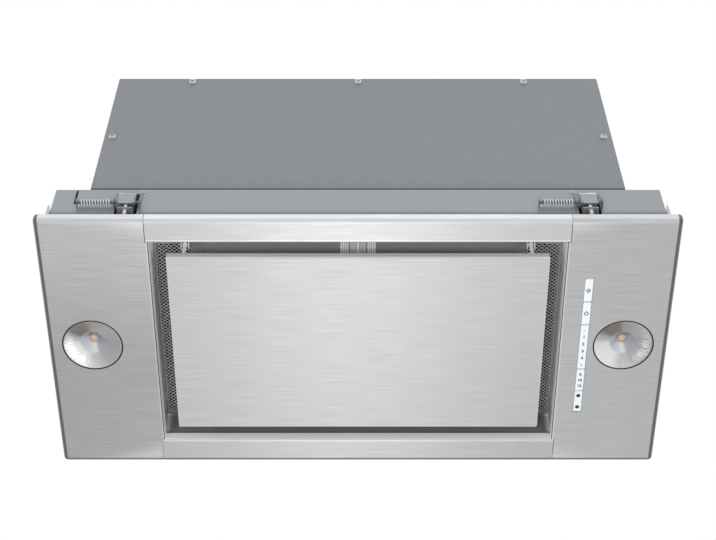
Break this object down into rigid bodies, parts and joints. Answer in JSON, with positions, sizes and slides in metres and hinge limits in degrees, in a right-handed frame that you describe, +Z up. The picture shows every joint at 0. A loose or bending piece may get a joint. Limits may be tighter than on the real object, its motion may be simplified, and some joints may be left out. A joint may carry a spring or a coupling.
{
  "type": "range hood",
  "caption": "Built-in range hood that draws air in around a hinged rim panel and blows it up through a round duct collar, with two recessed lamps and a strip of keys.",
  "frame": {"origin": "centre of the trim's flat underside", "axes": "+X along the trim towards the key strip, +Y from the room side to the wall side, +Z up to the duct"},
  "size_m": [0.58, 0.2855, 0.361],
  "materials": {
    "stainless_trim": "fine brushed stainless steel",
    "zinc_sheet": "satin galvanised sheet",
    "spring_steel": "bright spring steel",
    "screw_steel": "bright zinc plated",
    "mesh_aluminium": "dull anodised",
    "filter_aluminium": "satin",
    "mirror_aluminium": "polished",
    "heat_sink": "blasted",
    "led": "warm phosphor on a white board",
    "key_white": "moulded, printed symbols",
    "black_plastic": "fine moulded grain",
    "grey_plastic": "fine moulded grain",
    "circuit_board": "solder mask",
    "motor_paint": "semi-matt paint"
  },
  "bodies": {
    "hood": {"end_panel_left": "stainless_trim", "end_panel_right": "stainless_trim", "front_rail": "stainless_trim", "rear_rail": "stainless_trim", "lower_casing": "zinc_sheet", "intake_frame": "zinc_sheet", "center_bar": "filter_aluminium", "housing_shell": "zinc_sheet", "housing_front_cover": "zinc_sheet", "trim_screws": "screw_steel", "seam_screws": "screw_steel", "cover_screws": "screw_steel", "clamp_screws": "screw_steel", "exhaust_collar": "black_plastic", "flap_rod": "spring_steel", "fan_scroll": "zinc_sheet", "fan_motor": "motor_paint", "motor_bracket": "zinc_sheet", "panel_catches": "spring_steel", "hinge_brackets": "zinc_sheet", "hinge_pins": "spring_steel", "lamp_left_reflector": "mirror_aluminium", "lamp_right_reflector": "mirror_aluminium", "lamp_leds": "led", "lamp_heat_sinks": "heat_sink", "key_carrier": "black_plastic", "key_board": "circuit_board", "clamp_brackets": "zinc_sheet", "clamp_pins": "spring_steel", "clamp_springs": "spring_steel", "side_clips": "spring_steel", "control_box": "grey_plastic", "led_driver": "black_plastic", "cable_gland": "black_plastic"},
    "panel": {"rim_panel": "stainless_trim", "panel_back_plate": "zinc_sheet", "panel_studs": "spring_steel", "panel_lugs": "zinc_sheet"},
    "filter_left": {"filter_left_frame": "filter_aluminium", "filter_left_mesh": "mesh_aluminium", "filter_left_pad": "mesh_aluminium"},
    "filter_right": {"filter_right_frame": "filter_aluminium", "filter_right_mesh": "mesh_aluminium", "filter_right_pad": "mesh_aluminium"},
    "latch_left": {"filter_left_latch": "grey_plastic"},
    "latch_right": {"filter_right_latch": "grey_plastic"},
    "impeller": {"impeller_wheel": "black_plastic", "impeller_blades": "black_plastic", "impeller_shaft": "spring_steel"},
    "flap_front": {"flap_front": "grey_plastic"},
    "flap_rear": {"flap_rear": "grey_plastic"},
    "key_light": {"key_light": "key_white"},
    "key_power": {"key_power": "key_white"},
    "key_level": {"key_level": "key_white"},
    "key_timer": {"key_timer": "key_white"},
    "key_filter": {"key_filter": "key_white"},
    "arm_front_left": {"clamp_arm_front_left": "spring_steel"},
    "arm_front_right": {"clamp_arm_front_right": "spring_steel"},
    "arm_rear_left": {"clamp_arm_rear_left": "spring_steel"},
    "arm_rear_right": {"clamp_arm_rear_right": "spring_steel"}
  },
  "joints": [
    {"name": "panel_hinge", "type": "hinge", "parent": "hood", "child": "panel", "pos_m": [0, 0.094, 0.016], "axis": [1, 0, 0], "range_deg": [0, 90]},
    {"name": "filter_left_drop", "type": "hinge", "parent": "hood", "child": "filter_left", "pos_m": [-0.099, 0.1125, 0.043], "axis": [1, 0, 0], "range_deg": [0, 6]},
    {"name": "latch_left_slide", "type": "slide", "parent": "filter_left", "child": "latch_left", "axis": [0, 1, 0], "range_m": [0, 0.004], "stiffness_N_per_m": 300, "springref_m": -0.001},
    {"name": "filter_right_drop", "type": "hinge", "parent": "hood", "child": "filter_right", "pos_m": [0.099, 0.1125, 0.043], "axis": [1, 0, 0], "range_deg": [0, 6]},
    {"name": "latch_right_slide", "type": "slide", "parent": "filter_right", "child": "latch_right", "axis": [0, 1, 0], "range_m": [0, 0.004], "stiffness_N_per_m": 300, "springref_m": -0.001},
    {"name": "impeller_spin", "type": "hinge", "parent": "hood", "child": "impeller", "pos_m": [0, 0, 0.165], "axis": [1, 0, 0], "continuous": true},
    {"name": "flap_front_swing", "type": "hinge", "parent": "hood", "child": "flap_front", "pos_m": [0, 0, 0.335], "axis": [-1, 0, 0], "range_deg": [0, 75]},
    {"name": "flap_rear_swing", "type": "hinge", "parent": "hood", "child": "flap_rear", "pos_m": [0, 0, 0.335], "axis": [1, 0, 0], "range_deg": [0, 75]},
    {"name": "key_light_press", "type": "slide", "parent": "hood", "child": "key_light", "axis": [0, 0, 1], "range_m": [0, 0.0008], "stiffness_N_per_m": 900, "springref_m": -0.0005},
    {"name": "key_power_press", "type": "slide", "parent": "hood", "child": "key_power", "axis": [0, 0, 1], "range_m": [0, 0.0008], "stiffness_N_per_m": 900, "springref_m": -0.0005},
    {"name": "key_timer_press", "type": "slide", "parent": "hood", "child": "key_timer", "axis": [0, 0, 1], "range_m": [0, 0.0008], "stiffness_N_per_m": 900, "springref_m": -0.0005},
    {"name": "key_filter_press", "type": "slide", "parent": "hood", "child": "key_filter", "axis": [0, 0, 1], "range_m": [0, 0.0008], "stiffness_N_per_m": 900, "springref_m": -0.0005},
    {"name": "key_level_rock", "type": "hinge", "parent": "hood", "child": "key_level", "pos_m": [0.21105, 0.0022, 0.002], "axis": [1, 0, 0], "range_deg": [-1.5, 1.5], "stiffness_Nm_per_rad": 0.4},
    {"name": "arm_front_left_swing", "type": "hinge", "parent": "hood", "child": "arm_front_left", "pos_m": [-0.209, -0.1394, 0.0292], "axis": [1, 0, 0], "range_deg": [0, 25], "stiffness_Nm_per_rad": 0.3, "springref_deg": -8.59},
    {"name": "arm_front_right_swing", "type": "hinge", "parent": "hood", "child": "arm_front_right", "pos_m": [0.209, -0.1394, 0.0292], "axis": [1, 0, 0], "range_deg": [0, 25], "stiffness_Nm_per_rad": 0.3, "springref_deg": -8.59},
    {"name": "arm_rear_left_swing", "type": "hinge", "parent": "hood", "child": "arm_rear_left", "pos_m": [-0.209, 0.1394, 0.0292], "axis": [-1, 0, 0], "range_deg": [0, 25], "stiffness_Nm_per_rad": 0.3, "springref_deg": -8.59},
    {"name": "arm_rear_right_swing", "type": "hinge", "parent": "hood", "child": "arm_rear_right", "pos_m": [0.209, 0.1394, 0.0292], "axis": [-1, 0, 0], "range_deg": [0, 25], "stiffness_Nm_per_rad": 0.3, "springref_deg": -8.59}
  ]
}
